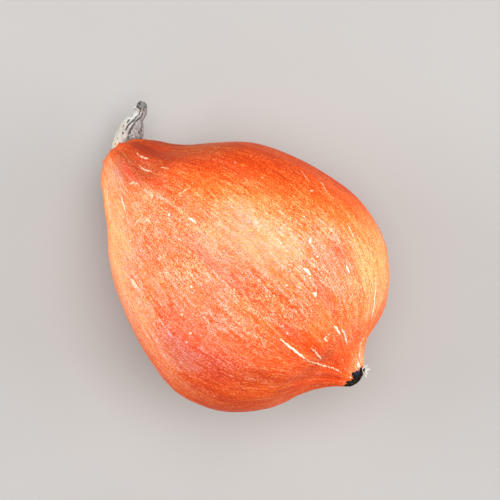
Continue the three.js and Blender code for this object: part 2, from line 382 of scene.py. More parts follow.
# Soft patches where the rind differs from the rest: distance from the blossom end, degrees round from
# the top, the patch's half length and half width, and by how much.
# The pale patches are partly the rind's paler skin and partly painted light: a painted highlight in the
# broad pale glow on top of the belly, and painted light along the neck's -Y side and on the +Y side near
# the nipple.
PALE_AND_LIT_PATCHES = [
    (78, 14, 28, 19, 0.52), (72, 28, 20, 9, 0.20), (108, 6, 24, 10, 0.15),
    (72, -10, 8, 5, 0.22), (104, -10, 10, 4, 0.13), (104, 10, 9, 4, 0.10),
    (50, 2, 16, 6, -0.15), (48, -10, 14, 4, -0.20), (62, 38, 10, 20, 0.15),
    (60, 41, 12, 6, 0.35), (36, 44, 18, 20, 0.32), (34, 72, 26, 18, 0.60),
    (36, -20, 9, 5, 0.33), (12, -12, 11, 14, -0.18), (15, -33, 5, 12, 0.36),
    (7.5, -38, 3, 18, -0.28), (36, 17, 16, 6, -0.12), (54, 31, 8, 7, 0.12),
    (20, 44, 7, 17, 0.34), (5, 42, 9, 10, 0.75), (9, 72, 8, 12, 0.20),
    (16, 28, 6, 8, 0.12), (15, -46, 15, 24, -0.45), (90, -24, 40, 22, 0.20),
    (152, -34, 32, 24, 0.80), (172, -36, 16, 20, 0.62), (160, -8, 14, 10, -0.14),
    (150, -13, 9, 7, -0.22), (136, 8, 12, 8, -0.10), (124, 36, 18, 20, -0.13),
    (150, 16, 14, 8, -0.12), (168, 2, 8, 10, 0.22), (142, 30, 8, 7, 0.12),
    (124, -56, 34, 18, 0.50), (84, -62, 16, 10, 0.18), (72, -68, 12, 10, 0.10),
    (80, 50, 9, 6, 0.14), (161, 53, 20, 11, -0.34), (106, 54, 36, 20, -1.00),
    (98, 80, 50, 15, -0.80), (138, 28, 26, 15, -0.65), (168, 32, 20, 18, -1.00),
    (40, -46, 34, 26, -0.75), (45, -80, 40, 18, -0.55), (66, -44, 12, 10, 0.42),
    (86, -21, 9, 5, -0.14), (74, 56, 12, 8, 0.16), (90, -40, 9, 7, -0.15),
    (30, -4, 14, 10, -0.42), (60, -40, 14, 9, -0.10),
    (72, 180, 46, 42, 0.90),  # where it lay on the ground
]
SMOOTH_PATCHES = [(76, 16, 32, 20, 1.0)]  # where the flecks are faint
RED_PATCHES = [
    (96, -5, 24, 4, 0.8), (64, -4, 24, 3, 0.8), (36, -4.5, 14, 4, 0.8),
    (36, 19.5, 18, 2.5, 0.9), (50, 38, 7, 5, 0.9), (74, -30, 14, 8, 0.5),
    (162, 0, 14, 3, 0.8), (160, 30, 16, 18, 0.4), (118, 35, 34, 9, 0.4),
]
PINK_PATCHES = [  # pinker here than elsewhere, or, if less than 0, more orange
    (64, -34, 34, 26, 1.5), (60, -39, 14, 10, 1.0), (72, 40, 16, 12, 0.2),
    (78, 0, 16, 12, 0.8), (96, 22, 18, 10, 1.0), (58, 8, 12, 10, 0.4),
    (46, 31, 18, 18, 0.9), (38, 6, 10, 7, 0.6), (110, -2, 30, 14, 0.4),
    (122, -30, 10, 30, 0.4), (164, -36, 20, 18, -0.6), (140, -48, 20, 14, -0.6),
    (166, -4, 9, 8, 0.9), (100, 56, 50, 20, -1.3), (114, 35, 34, 22, -1.5),
    (165, 45, 25, 20, -0.7), (34, -52, 26, 22, -0.8), (38, 64, 26, 18, -0.9),
]
DULL_AND_SHADED_PATCHES = [  # greyer and darker: partly duller skin and partly painted shade on the neck's +Y side and the belly's -Y side
    (160, 42, 22, 32, 1.2), (158, 18, 14, 10, 0.45), (170, 8, 12, 14, 0.5),
    (138, 52, 20, 14, 0.7), (34, -38, 24, 15, 0.55), (72, -46, 24, 14, 0.85),
    (18, -8, 8, 15, 0.65), (21, -50, 6, 8, 0.4), (166, 56, 12, 10, 0.6),
]
SCABBY_PATCHES = [  # crowds of tiny pale scabs
    (141, -1.5, 8, 3, 1.0), (136, -18, 6, 4, 0.9), (131, -13, 5, 3, 0.7),
    (126, 10, 5, 4, 0.6), (111, -19, 8, 5, 0.6), (124, -27, 8, 6, 0.5),
    (93, -14, 10, 6, 0.5), (80, -17, 10, 6, 0.4), (85, -37, 12, 7, 0.4),
    (61, -18, 8, 6, 0.5), (60, 5, 8, 5, 0.3), (30, 2, 8, 6, 0.7),
    (101, 35, 16, 4, 0.4), (76, 44, 10, 4, 0.4), (96, -150, 26, 20, 0.5),
    (60, 130, 24, 12, 0.4),
]
SWELLINGS = [  # where the flesh stands out a little, or, if less than 0, sinks in, in mm
    (160, 53, 24, 12, -0.9), (128, -62, 16, 14, -1.0), (120, -82, 18, 14, -0.8),
    (14, -66, 10, 10, -0.6), (6, 30, 6, 9, -0.5), (96, 60, 20, 12, 0.3),
]
BLOSSOM_SCAR_EDGE = 3.9  # the black scar's edge, in distance from the blossom end
BLOSSOM_SCAR_BITE = 2.4  # it stops this much sooner on the +Y side
BLOSSOM_SCAR_RAGGED = 0.9  # and its edge is this ragged
SCAR_WEDGES = [  # where the skin reaches in, or, if less than 0, draws back: degrees, half width, depth
    (-12, 5, 1.1), (-24, 9, 1.4), (-60, 7, 0.7), (-110, 9, 1.2), (-160, 8, 1.0), (2, 10, -0.5),
]
SCAR_ROUGHNESS = 0.25
PAINTED_SHEEN_PATCHES = [(2.7, 22, 1.7, 2.7, 1.0)]  # where a blue sheen is painted on the smooth part of the scar
FLOWER_FOOT = (2.1, math.radians(50))  # the flower's rest grows here: distance and angle round
FLOWER_FOOT_REACH = 2.0
NIPPLE_FLAT = (8, 6, 0.8)  # where the nipple is flattened on its +Y side, half length, depth
LUMPS = [(0.45, 38), (0.12, 9)]  # the skin's unevenness: how high and how wide its lumps are
NIPPLE_SKIN = (6, 34)  # the skin grows smoother and paler from the nipple to the belly
NECK_SKIN = (135, 175)  # and more wrinkled and darker again along the neck
WRINKLES = (0.15, 0.35, 0.3)  # height of lengthwise wrinkles, and how much more at the nipple and neck
USUAL_PALENESS = 0.35
ENDS_DARKER = (0.28, 0.25)  # how much less pale the nipple and the neck are


def hump(distance):
    """1 in the middle, falling off smoothly to a third at a distance of 1 either way."""
    return np.exp(-distance ** 2)


def segment_distance(points, start, end):
    """How far points are from a straight line between two others, and how far along it they are."""
    run = end - start
    share = np.clip((points - start) @ run / max(run @ run, 1e-12), 0, 1)
    return np.linalg.norm(points - start - share[:, None] * run, axis=1), share


def cork_field(points, wander=0.0):
    """How far inside a mark each point is, in mm, less than 0 outside, and how far it stands out."""
    points = points + wander
    inside = np.full(len(points), -2.0)  # far outside every mark
    height = np.zeros(len(points))
    for width, stands_out, whole, line in CORK_MARKS:
        stations, degrees = smooth_line(line, 3).T
        corners = skin_point(stations, np.radians(degrees)) / MM
        for k, (start, end) in enumerate(zip(corners, corners[1:])):
            distance, share = segment_distance(points, start, end)
            along = (k + share) / (len(corners) - 1)
            fullness = np.sqrt(np.sin(math.pi * np.clip(along, 0.02, 0.98)))
            half = width / 2 * (CORK_TAPER + (1 - CORK_TAPER) * fullness)
            depth = half - distance
            inside = np.maximum(inside, np.minimum(depth, (whole - BROKEN_CORK) * 1.2))
            height = np.maximum(height, stands_out * ramp(depth, -CORK_FOOT, half))
    return inside, height


def patch_field(points, patches):
    """The sum of soft patches drawn out along the fruit, in mm over the skin."""
    field = np.zeros(len(points))
    for station, degrees, half_length, half_width, amount in patches:
        turn = math.radians(degrees)
        middle = skin_point(station, turn) / MM
        along = skin_point(station + 1, turn) / MM - middle
        along /= np.linalg.norm(along)
        offset = points - middle
        run = offset @ along
        across = np.linalg.norm(offset - run[:, None] * along, axis=1)
        field += amount * hump(np.hypot(run / half_length, across / half_width))
    return field


def uneven(points, size, octaves=2):
    """Smooth unevenness from about -1 to 1 at points, with lumps of about that size."""
    return np.array([noise.fractal(Vector(p) / size, 0.9, 2.0, octaves) for p in points])


def close_rings(rings, columns, first, start, end, other_way=False):
    """Faces that join rings of corners, numbered from the first, and close each end at one corner."""
    corner = lambda ring, column: first + ring * columns + column % columns
    faces = [(corner(r, c), corner(r, c + 1), corner(r + 1, c + 1), corner(r + 1, c))
             for r in range(rings - 1) for c in range(columns)]
    faces += [(start, corner(0, c + 1), corner(0, c)) for c in range(columns)]
    faces += [(end, corner(rings - 1, c), corner(rings - 1, c + 1)) for c in range(columns)]
    return [(face[0], *face[:0:-1]) for face in faces] if other_way else faces


def fruit_mesh():
    """The bare skin as a mesh, which notes each corner's station and the cosine and sine of its turn."""
    (nipple_more, nipple_reach), (neck_more, neck_reach) = END_CROWDING
    crowding = 1 + nipple_more * np.exp(-skin_length / nipple_reach)
    crowding += neck_more * np.exp(-(skin_length[-1] - skin_length) / neck_reach)
    walked = np.concatenate([[0], np.cumsum((crowding[1:] + crowding[:-1]) / 2 * np.diff(skin_length))])
    stations = np.interp(np.linspace(0, walked[-1], RINGS + 1), walked, outline[:, 0])[1:-1]
    even = np.linspace(0, 2 * math.pi, COLUMNS, endpoint=False)
    turns = even - TOP_CROWDING * np.sin(even)
    ring_stations, ring_turns = np.meshgrid(stations, turns, indexing="ij")
    places = [(0, 1, 0), (FRUIT_LENGTH, 1, 0)]
    places += list(zip(ring_stations.ravel(), np.cos(ring_turns).ravel(), np.sin(ring_turns).ravel()))
    faces = close_rings(len(stations), COLUMNS, first=2, start=0, end=1)
    places = np.array(places)
    mesh = bpy.data.meshes.new("squash_fruit")
    mesh.from_pydata(skin_point(places[:, 0], np.arctan2(places[:, 2], places[:, 1])), [], faces)
    mesh.attributes.new("place", "FLOAT_VECTOR", "POINT").data.foreach_set("vector", places.ravel())
    return mesh


def read_vectors(data, name):
    values = np.empty(3 * len(data))
    data.foreach_get(name, values)
    return values.reshape(-1, 3)


def mesh_finely_near_marks(mesh):
    """Cuts the skin's faces by the cork marks into small ones, so that the marks come out crisp."""
    points = read_vectors(mesh.vertices, "co") / MM
    near = cork_field(points)[0] > -CORK_REACH
    solid = bmesh.new()
    solid.from_mesh(mesh)
    solid.verts.ensure_lookup_table()
    faces = [f for f in solid.faces if any(near[v.index] for v in f.verts)]
    edges = {e for f in faces for e in f.edges}
    bmesh.ops.subdivide_edges(solid, edges=list(edges), cuts=CORK_CUTS, use_grid_fill=True)
    bmesh.ops.triangulate(solid, faces=[f for f in solid.faces if len(f.verts) > 4])
    bmesh.ops.recalc_face_normals(solid, faces=solid.faces)
    solid.to_mesh(mesh)
    solid.free()


def set_values(mesh, name, values):
    """Gives every corner of a mesh its own number or vector, for the material to read."""
    kind, key = ("FLOAT_VECTOR", "vector") if values.ndim == 2 else ("FLOAT", "value")
    mesh.attributes.new(name, kind, "POINT").data.foreach_set(key, values.astype(np.float32).ravel())


def keep_in_frame(points):
    """Moves points that stand out of the frame's box to just inside it, in mm."""
    low, high = (np.array(corner) / MM for corner in cad_box)
    return np.clip(points, low + BOX_MARGIN, high - BOX_MARGIN)


def grow_skin(mesh):
    """Puts every corner on the skin, gives the skin its relief, and notes where its marks are."""
    place = read_vectors(mesh.attributes["place"].data, "vector")
    station, turn = place[:, 0], np.arctan2(place[:, 2], place[:, 1])
    smooth = skin_point(station, turn)
    mesh.vertices.foreach_set("co", smooth.ravel())
    mesh.update()
    outward = read_vectors(mesh.vertex_normals, "vector")
    points = smooth / MM
    walked = np.interp(station, outline[:, 0], skin_length)
    around = np.stack([walked, BELLY_RADIUS * np.cos(turn), BELLY_RADIUS * np.sin(turn)], -1)

    wander = np.zeros(points.shape)
    marked = cork_field(points)[0] > -CORK_REACH
    how_far, over_what = CORK_WANDER
    for k, shift in enumerate(np.diag((7, 11, 13))):  # so that each direction strays in its own way
        wander[marked, k] = how_far * uneven(points[marked] + shift, over_what)
    inside_cork, cork_height = cork_field(points, wander)
    scar_edge = BLOSSOM_SCAR_EDGE + BLOSSOM_SCAR_RAGGED * uneven(around * (0.02, 1, 1), 7)
    scar_edge -= BLOSSOM_SCAR_BITE * ramp(np.sin(turn), 0.25, 0.95)
    for degrees, half_width, depth in SCAR_WEDGES:
        scar_edge -= depth * hump((np.degrees(turn) - degrees) / half_width)
    from_flower = np.linalg.norm(points - skin_point(*FLOWER_FOOT) / MM, axis=1)
    in_scar = np.maximum(scar_edge - station, FLOWER_FOOT_REACH - from_flower)

    near_nipple = 1 - ramp(station, *NIPPLE_SKIN)
    near_neck = ramp(station, *NECK_SKIN)
    relief = sum(high * uneven(points, wide) for high, wide in LUMPS)
    usual, more_at_nipple, more_at_neck = WRINKLES
    wrinkled = usual + more_at_nipple * near_nipple + more_at_neck * near_neck
    relief += wrinkled * uneven(around * (0.08, 1, 1), 7)
    relief += SCAR_ROUGHNESS * ramp(in_scar, -0.4, 0.6) * uneven(points, 1.1)
    middle, half_length, depth = NIPPLE_FLAT
    relief -= depth * hump((station - middle) / half_length) * ramp(np.sin(turn), 0.5, 1)
    relief += patch_field(points, SWELLINGS) + cork_height
    above_floor = ramp(points[:, 2], *SMOOTH_SPOT)
    shown = keep_in_frame(points + outward * (relief * above_floor)[:, None])
    mesh.vertices.foreach_set("co", (shown * MM).ravel())
    mesh.update()

    nipple_darker, neck_darker = ENDS_DARKER
    # the paleness holds the painted highlight and painted side light of the pale patches
    pale = USUAL_PALENESS + patch_field(points, PALE_AND_LIT_PATCHES)
    set_values(mesh, "paleness_and_light", pale - neck_darker * near_neck - nipple_darker * near_nipple)
    set_values(mesh, "rind", around)
    set_values(mesh, "cork", inside_cork)
    set_values(mesh, "blossom_scar", in_scar)
    for name, patches in (("smoothness", SMOOTH_PATCHES), ("redness", RED_PATCHES),
                          ("pinkness", PINK_PATCHES), ("dullness_and_shade", DULL_AND_SHADED_PATCHES),
                          ("scabbiness", SCABBY_PATCHES), ("scar_painted_sheen", PAINTED_SHEEN_PATCHES)):
        set_values(mesh, name, patch_field(points, patches))
    mesh.attributes.remove(mesh.attributes["place"])


# The rind's colours from its deepest orange to its palest flecks, each with its place on that scale.
RIND_TONES = [
    (0.00, (0.60, 0.045, 0.013)),
    (0.12, (0.74, 0.058, 0.013)),
    (0.22, (0.86, 0.078, 0.014)),
    (0.33, (0.91, 0.116, 0.019)),
    (0.45, (0.92, 0.165, 0.042)),
    (0.60, (0.93, 0.270, 0.110)),
    (0.80, (0.94, 0.430, 0.250)),
    (1.00, (0.95, 0.600, 0.400)),
]
ORANGE_TINT = (1.0, 1.04, 0.62)
PINK_TINT = (1.0, 0.96, 1.42)
RED = (0.74, 0.070, 0.030)
PINK = (0.92, 0.24, 0.14)
# darkens and greys the rind in the dull patches, partly as painted shade
DULL_SHADE_TINT = (0.72, 0.90, 1.25)
# painted shade round the raised cork marks
PAINTED_SHADE_ORANGE = (0.66, 0.075, 0.012)
FLECK_WHITE = (0.94, 0.86, 0.82)
CORK_EDGE = (0.95, 0.60, 0.38)
CREAM = (0.96, 0.90, 0.80)
SCAR_BLACK = (0.008, 0.008, 0.009)
SCAR_BROWN = (0.050, 0.038, 0.024)
# a painted blue reflection on the black scar
SCAR_PAINTED_SHEEN = (0.028, 0.036, 0.090)


def read_value(shader, name, vector=False):
    return add(shader, "Attribute", attribute_name=name).outputs["Vector" if vector else "Fac"]


def tones(shader, value, stops):
    """Turns a value into a colour by a scale of colours."""
    scale = add(shader, "ValToRGB", {"Fac": value})
    ramp_stops = scale.color_ramp.elements
    while len(ramp_stops) < len(stops):
        ramp_stops.new(0.5)
    for made, (position, colour) in zip(ramp_stops, stops):
        made.position = position
        made.color = (*colour, 1)
    return scale.outputs["Color"]


def total(shader, *parts):
    """Adds up values, each times its share."""
    result = 0.0
    for value, share in parts:
        result = maths(shader, "MULTIPLY_ADD", value, share, result)
    return result


def sprinkle(shader, place, scale, rarity, size, edge):
    """Spots of unlike size, at most one to a cell of the skin: 1 inside them and 0 outside."""
    cells = add(shader, "TexVoronoi", {"Vector": place, "Scale": scale})
    luck = add(shader, "SeparateColor", {"Color": cells.outputs["Color"]}).outputs["Red"]
    radius = step(shader, luck, rarity, 1.0, 0.0, size)
    return step(shader, maths(shader, "SUBTRACT", radius, cells.outputs["Distance"]), *edge)


def roughen(shader, height, depth):
    """Makes the surface bumpy by a height, to a depth in metres."""
    bump = add(shader, "Bump", {"Strength": 1.0, "Distance": depth, "Height": height})
    wire(shader, "Normal", bump.outputs["Normal"])


def scabs_and_spots(shader, swayed, body, crowd, specks):
    """Tiny pale torn scabs, netted together where they crowd, and larger faint spots."""
    tearing = add(shader, "TexNoise", {"Vector": body, "Scale": 0.6, "Detail": 3.0}).outputs["Color"]
    place = scaled(shader, swayed, (0.38, 0.55, 0.55))
    place = blend(shader, 0.5, place, tearing, mode="LINEAR_LIGHT")
    scabs = add(shader, "TexVoronoi", {"Vector": place, "Scale": 1.0}).outputs["Distance"]
    net = add(shader, "TexVoronoi", {"Vector": place, "Scale": 1.1}, feature="DISTANCE_TO_EDGE")
    crowded = total(shader, (crowd, 1.0), (read_value(shader, "scabbiness"), 0.30))
    scab_size = step(shader, crowded, 0.56, 0.80, 0.0, 0.34)
    scab = step(shader, maths(shader, "SUBTRACT", scab_size, scabs), -0.03, 0.12)
    netted = step(shader, total(shader, (crowded, 1.0), (specks, 0.5)), 1.0, 1.15)
    netting = maths(shader, "MULTIPLY", step(shader, net.outputs["Distance"], 0.10, 0.0), netted)
    spot = sprinkle(shader, place, 0.42, rarity=0.55, size=0.30, edge=(-0.04, 0.12))
    return maths(shader, "MAXIMUM", scab, netting), spot


def lay_cork(shader, skin, ragged):
    """Cream cork with torn, more orange edges, and a painted shade rim of darker orange round it."""
    in_cork = maths(shader, "ADD", read_value(shader, "cork"), ragged)
    cork = step(shader, in_cork, -0.05, 0.25)
    # painted shade: a darker orange rim round each raised mark
    skin = blend(shader, step(shader, in_cork, -0.7, -0.1, 0, 0.35), skin, PAINTED_SHADE_ORANGE)
    corky = blend(shader, step(shader, in_cork, 0.18, 0.6), CORK_EDGE, CREAM)
    return cork, blend(shader, cork, skin, corky)


def lay_scar(shader, skin, around, body):
    """The black scar where the flower fell off, browner in specks and with a painted blue sheen where it is
    smooth.
    """
    torn = grain(shader, around, 2.2, stretch=(0.3, 1, 1), detail=3)
    torn = maths(shader, "MULTIPLY_ADD", torn, 2.4, -1.2)
    scar = step(shader, maths(shader, "ADD", read_value(shader, "blossom_scar"), torn), -0.1, 0.25)
    crumbly = step(shader, grain(shader, body, 0.9, detail=3), 0.45, 0.65)
    burnt = grain(shader, body, 1.0, detail=3, roughness=0.7)
    # painted reflection: a bluish sheen laid into the scar's colour on its smooth part
    painted_sheen = total(shader, (read_value(shader, "scar_painted_sheen"), 1.0), (burnt, 1.4))
    charred = blend(shader, crumbly, SCAR_BLACK, SCAR_BROWN)
    charred = blend(shader, step(shader, painted_sheen, 1.05, 1.4, 0.0, 0.85), charred, SCAR_PAINTED_SHEEN)
    return scar, blend(shader, scar, skin, charred)


def rind_finish():
    """Waxy orange rind, dense with pale flecks that run lengthwise, with red patches and cream cork."""
    material, shader = new_finish("kuri_rind")
    around = read_value(shader, "rind", vector=True)
    metres = add(shader, "TexCoord").outputs["Object"]
    body = scaled(shader, metres, (1000, 1000, 1000))

    # soft clouds and bands, and on them flecks and strokes that sway a little
    clouds = grain(shader, around, 18, stretch=(0.45, 1, 1), detail=3)
    bands = grain(shader, around, 5, stretch=(0.16, 1, 1), detail=2)
    sway_field = add(shader, "TexNoise", {"Vector": around, "Scale": 1 / 10, "Detail": 2.5})
    swaying = {0: sway_field.outputs["Color"], 1: (4, 2, 2), 2: around}
    swayed = add(shader, "VectorMath", swaying, operation="MULTIPLY_ADD").outputs["Vector"]
    strokes = grain(shader, swayed, 1.2, stretch=(0.13, 1, 1), detail=2, roughness=0.6, swirl=0.35)
    flecks = grain(shader, swayed, 0.9, stretch=(0.62, 1, 1), detail=3, roughness=0.65, swirl=0.8)
    specks = grain(shader, body, 0.55, detail=2, roughness=0.6)
    hues = grain(shader, body, 0.8, detail=1)
    # paleness, with its painted highlight and painted side light
    paleness_and_light = total(shader, (read_value(shader, "paleness_and_light"), 0.42), (clouds, 0.45), (bands, 0.35))
    texture = total(shader, (strokes, 0.9), (flecks, 1.2), (specks, 1.8))
    texture = maths(shader, "SUBTRACT", texture, 1.95)
    texture = maths(shader, "MAXIMUM", texture, maths(shader, "MULTIPLY", texture, 0.85))
    crowd = grain(shader, around, 13, stretch=(0.7, 1, 1), detail=2)
    liveliness = step(shader, crowd, 0.35, 0.65, 0.8, 1.25)
    smoothing = step(shader, read_value(shader, "smoothness"), 0.2, 1.0, 1.0, 0.6)
    texture = maths(shader, "MULTIPLY", texture, maths(shader, "MULTIPLY", liveliness, smoothing))
    scab, spot = scabs_and_spots(shader, swayed, body, crowd, specks)
    tone = maths(shader, "ADD", texture, paleness_and_light)
    tone = maths(shader, "MULTIPLY_ADD", scab, 0.32, tone)
    tone = maths(shader, "MULTIPLY_ADD", spot, 0.16, tone)
    tone = maths(shader, "SUBTRACT", tone, 0.08)
    skin = tones(shader, tone, RIND_TONES)

    # pinker, duller and redder patches; the duller ones are partly painted shade
    mottling = grain(shader, around, 7, stretch=(0.4, 1, 1), detail=2)
    pinkness = total(shader, (read_value(shader, "pinkness"), 0.35), (clouds, -0.3), (strokes, 0.35),
                     (mottling, 0.5), (hues, 2.0))
    tint = blend(shader, step(shader, pinkness, 0.93, 1.78), ORANGE_TINT, PINK_TINT)
    skin = blend(shader, 1.0, skin, tint, mode="MULTIPLY")
    # painted shade: the dull patches darken and grey the rind, partly its own duller skin
    dullness_and_shade = step(shader, read_value(shader, "dullness_and_shade"), 0.0, 1.0)
    skin = blend(shader, dullness_and_shade, skin, blend(shader, 1.0, skin, DULL_SHADE_TINT, mode="MULTIPLY"))
    redness = total(shader, (read_value(shader, "redness"), 1.0), (clouds, 0.9), (bands, 0.5))
    blush = step(shader, redness, 0.8, 1.7)
    flecked = step(shader, tone, 0.35, 0.65)
    skin = blend(shader, maths(shader, "MULTIPLY", blush, 0.75), skin, blend(shader, flecked, RED, PINK))

    # white dots, cork and the blossom scar
    dot = sprinkle(shader, body, 0.24, rarity=0.72, size=0.13, edge=(-0.02, 0.04))
    skin = blend(shader, maths(shader, "MULTIPLY", dot, 0.85), skin, FLECK_WHITE)
    ragged = maths(shader, "MULTIPLY_ADD", grain(shader, body, 0.9, detail=2), 1.1, -0.55)
    cork, skin = lay_cork(shader, skin, ragged)
    scar, skin = lay_scar(shader, skin, around, body)
    wire(shader, "Base Color", skin)

    gloss = maths(shader, "MULTIPLY_ADD", flecked, 0.08, 0.42)
    gloss = maths(shader, "MULTIPLY_ADD", cork, 0.25, gloss)
    wire(shader, "Roughness", gloss)
    shader.inputs["Specular IOR Level"].default_value = 0.025
    height = total(shader, (flecks, 1.2), (specks, 1.0), (strokes, 0.8), (scab, 0.6), (dot, 0.6),
                   (cork, 1.2), (maths(shader, "MULTIPLY", scar, ragged), 2.0))
    roughen(shader, height, 0.00012)
    return material


def place_piece(mesh, name, node, material):
    """Smooths a finished mesh, dresses it, and puts it in the frame in place of its node."""
    mesh.materials.append(material)
    mesh.shade_smooth()
    piece = bpy.data.objects.new(name, mesh)
    bpy.context.scene.collection.objects.link(piece)
    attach(piece, "root")
    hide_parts(node)


fruit = fruit_mesh()
mesh_finely_near_marks(fruit)
grow_skin(fruit)
place_piece(fruit, "squash_fruit", "fruit", rind_finish())


# ------------------------------------------------------------
# The stem: the stub of the fruit's stalk, cut from the vine and dried grey. It is corky and ridged,
# grown out of the neck's end, kinked near its tip, and its broken end is frayed and dark inside.
STEM_LINE = [  # from inside the neck's end to the tip, measured from the neck's end
    (5.8, -3.2, 4), (1.5, 3.8, 0), (-3.2, 11.4, -1), (-6.8, 19, -0.5),
    (-8, 23.7, 0.5), (-7.9, 27.5, 1.8), (-9.4, 29.8, 3.6), (-11, 31.1, 5.4),
]
STEM_OUTLINE = [  # share of the length, radius
    (0, 5.5), (0.05, 7.4), (0.2, 7.7), (0.42, 7.5), (0.6, 6.4), (0.69, 5.3), (0.75, 4.1),
    (0.79, 3.1), (0.92, 3.1), (1, 3.3),
]
STEM_TWIST = [  # share of the length, degrees that its ridges have turned round it
    (0, 0), (0.55, -37), (0.65, -42), (0.73, -49), (0.79, -58),
    (0.84, -61), (0.89, -55), (0.94, -58), (1, -58),
]
STEM_RIDGES = (6, 54, 0.03)  # how many, degrees of the first one, height as a share of the radius
RIDGE_WANDER = 5  # degrees that the ridges and grooves stray
STEM_GROOVES = [  # degrees round the stalk at its foot, 0 is up, and where along it they start and stop
    (36, 0.57, 0.80), (31, 0.80, 1.0), (57, 0.60, 0.80), (65, 0.80, 1.0), (-14, 0.90, 1.0),
    (128, 0.3, 1.0), (164, 0.5, 1.0), (201, 0.3, 1.0), (238, 0.4, 1.0), (275, 0.5, 1.0),
    (325, 0.45, 0.85),
]
GROOVE_WIDTH = 0.52  # half of it, in mm
GROOVE_NARROWING = 0.20  # this much less above the kink
GROOVE_DEPTH = 0.17  # as a share of the radius
GROOVE_CHANGE = (0.95, 0.25, 15, 2.3)  # usual depth, how much and how fast it changes, shift to the next
FULLNESS = 1.06  # the stalk between its grooves, as a share of its outline's radius
CORKINESS = 0.05  # how uneven its skin is, as a share of the radius
STEM_HOLES = [  # share of the length, degrees round, radius along and across
    (0.70, 34, 1.5, 1.0), (0.61, 43, 1.0, 0.4), (0.52, 26, 0.75, 0.65), (0.36, 26, 0.5, 0.45),
    (0.48, -4, 0.8, 0.6), (0.43, 46, 0.35, 0.3), (0.60, -50, 0.8, 0.5), (0.66, -60, 0.9, 0.4),
]
HOLE_DEPTH = 0.7
SAP_DOT = (0.345, 48, 1.0)  # share of the length, degrees round, radius
STALK_RADIUS = 6  # its fibres are laid out as if it were this thick all along
MIDDLE_RADIUS = 7  # the stalk's, about where the holes are
FOOT_RADIUS = 8  # and where the sap is
KINK = 0.75  # share of the length where the stalk is kinked
KINK_CRACK = (7, 11, 0.01, 0.12)  # the crack across it: degrees round, half width, half length, depth
CRACK_SLANT = 0.001  # of that crack, as a share of the length for each degree round
KINK_BULGE = (-105, 50, 0.02, 0.06, 0.12)  # degrees, half width, how far past it, half length, height
KINK_PINCH = (75, 35, 0.015, 0.022, 0.34)  # the same, and depth
INNER_SIDE = 0.08  # how much the stalk is swollen along that side, from its middle to its tip
SPLINTER = (90, 14, 0.35)  # a splinter at the tip: degrees round, half width, how far it sticks out
LIP = (60, 1.8)  # the broken end's pale lip: degrees round, how pale it is
TIP_BLOTCHES = [  # degrees, share of the radius, size, how dark
    (112, 0.48, 0.19, 1.3), (84, 0.32, 0.19, 1.4), (30, 0.34, 0.19, 1.4), (8, 0.66, 0.20, 1.4),
    (-72, 0.90, 0.26, 1.1), (170, 0.72, 0.36, 0.75),
]
STEM_RINGS = 220
STEM_COLUMNS = 240
TIP_RINGS = 10
TIP_HOLLOW = 1.6  # depth of the broken end
TIP_TORN = 0.5  # how uneven it is inside
TIP_SLENDERNESS = 12  # the stalk's length, in radii of its tip

STALK_GREY = (0.66, 0.635, 0.61)
STALK_CREAM = (0.63, 0.585, 0.515)
STALK_MAUVE = (0.45, 0.415, 0.405)
STALK_BLEACHED_LIT = (0.80, 0.80, 0.79)
TIP_GREY = (0.34, 0.315, 0.30)
GROOVE_BROWN = (0.090, 0.083, 0.077)
SAP_BROWN = (0.36, 0.11, 0.015)
SAP_STAIN = (0.86, 0.62, 0.33)


def apart(degrees, other):
    """The angle between two directions, from -180 to 180 degrees."""
    return (degrees - other + 180) % 360 - 180


def stalk_grooves(shares, degrees, twist, radius):
    """How deep in a groove each corner of the stalk is, from 0 to a little over 1."""
    groove = np.zeros(shares.shape)
    width = GROOVE_WIDTH - GROOVE_NARROWING * ramp(shares, KINK - 0.03, KINK + 0.06)
    usual, change, quickness, shift = GROOVE_CHANGE
    for k, (place, start, stop) in enumerate(STEM_GROOVES):
        off = apart(degrees, place + twist)
        deep = usual + change * np.sin(quickness * shares + shift * k)
        deep *= ramp(shares, start - 0.1, start + 0.02)
        deep *= 1 - ramp(shares, stop - 0.01, stop + 0.03)
        groove = np.maximum(groove, deep * hump(np.radians(off) * radius / width))
    return groove


def stalk_bends(shares, heading):
    """How the stalk swells and shrinks where it is bent and broken, as a share of its radius."""
    at, half_width, further = SPLINTER
    swelling = further * hump(apart(heading, at) / half_width) * ramp(shares, 0.90, 0.96)
    at, half_width, past, half_length, height = KINK_BULGE
    inner_side = INNER_SIDE + height * hump((shares - KINK - past) / half_length)
    swelling += inner_side * ramp(shares, 0.5, 0.6) * hump(apart(heading, at) / half_width)
    at, half_width, past, half_length, depth = KINK_PINCH
    swelling -= depth * hump((shares - KINK - past) / half_length) * hump(apart(heading, at) / half_width)
    return swelling


def tip_darkness(shares, heading, turn, narrowed):
    """How dark the broken end's blotches make the outside of the stalk and the inside of its tip."""
    inside_places = narrowed[:, None, None] * np.stack([np.cos(turn), np.sin(turn)], -1)
    inside = np.full(inside_places.shape[:2], 0.1)
    outside = np.zeros(shares.shape)
    for at, out, size, darkness in TIP_BLOTCHES:
        place = out * np.array([math.cos(math.radians(at)), math.sin(math.radians(at))])
        blotch = hump(np.linalg.norm(inside_places - place, axis=-1) / size)
        inside = np.maximum(inside, darkness * blotch)
        blotch = hump(np.hypot(np.radians(apart(heading, at)), (1 - shares) * TIP_SLENDERNESS) / size)
        outside = np.maximum(outside, ramp(out, 0.7, 0.95) * blotch)
    return outside, inside


def stalk_line(share):
    """The stalk's length, and at each share of it its middle and the ways forward, sideways and up."""
    line = smooth_line(STEM_LINE)
    walked = np.concatenate([[0], np.cumsum(np.linalg.norm(np.diff(line, axis=0), axis=1))])
    middle = np.stack([np.interp(share * walked[-1], walked, line[:, k]) for k in range(3)], -1)
    forward = np.gradient(middle, axis=0)
    forward /= np.linalg.norm(forward, axis=1, keepdims=True)
    side = np.cross((0, 0, 1), forward)
    side /= np.linalg.norm(side, axis=1, keepdims=True)
    return walked[-1], middle, forward, side, np.cross(forward, side)


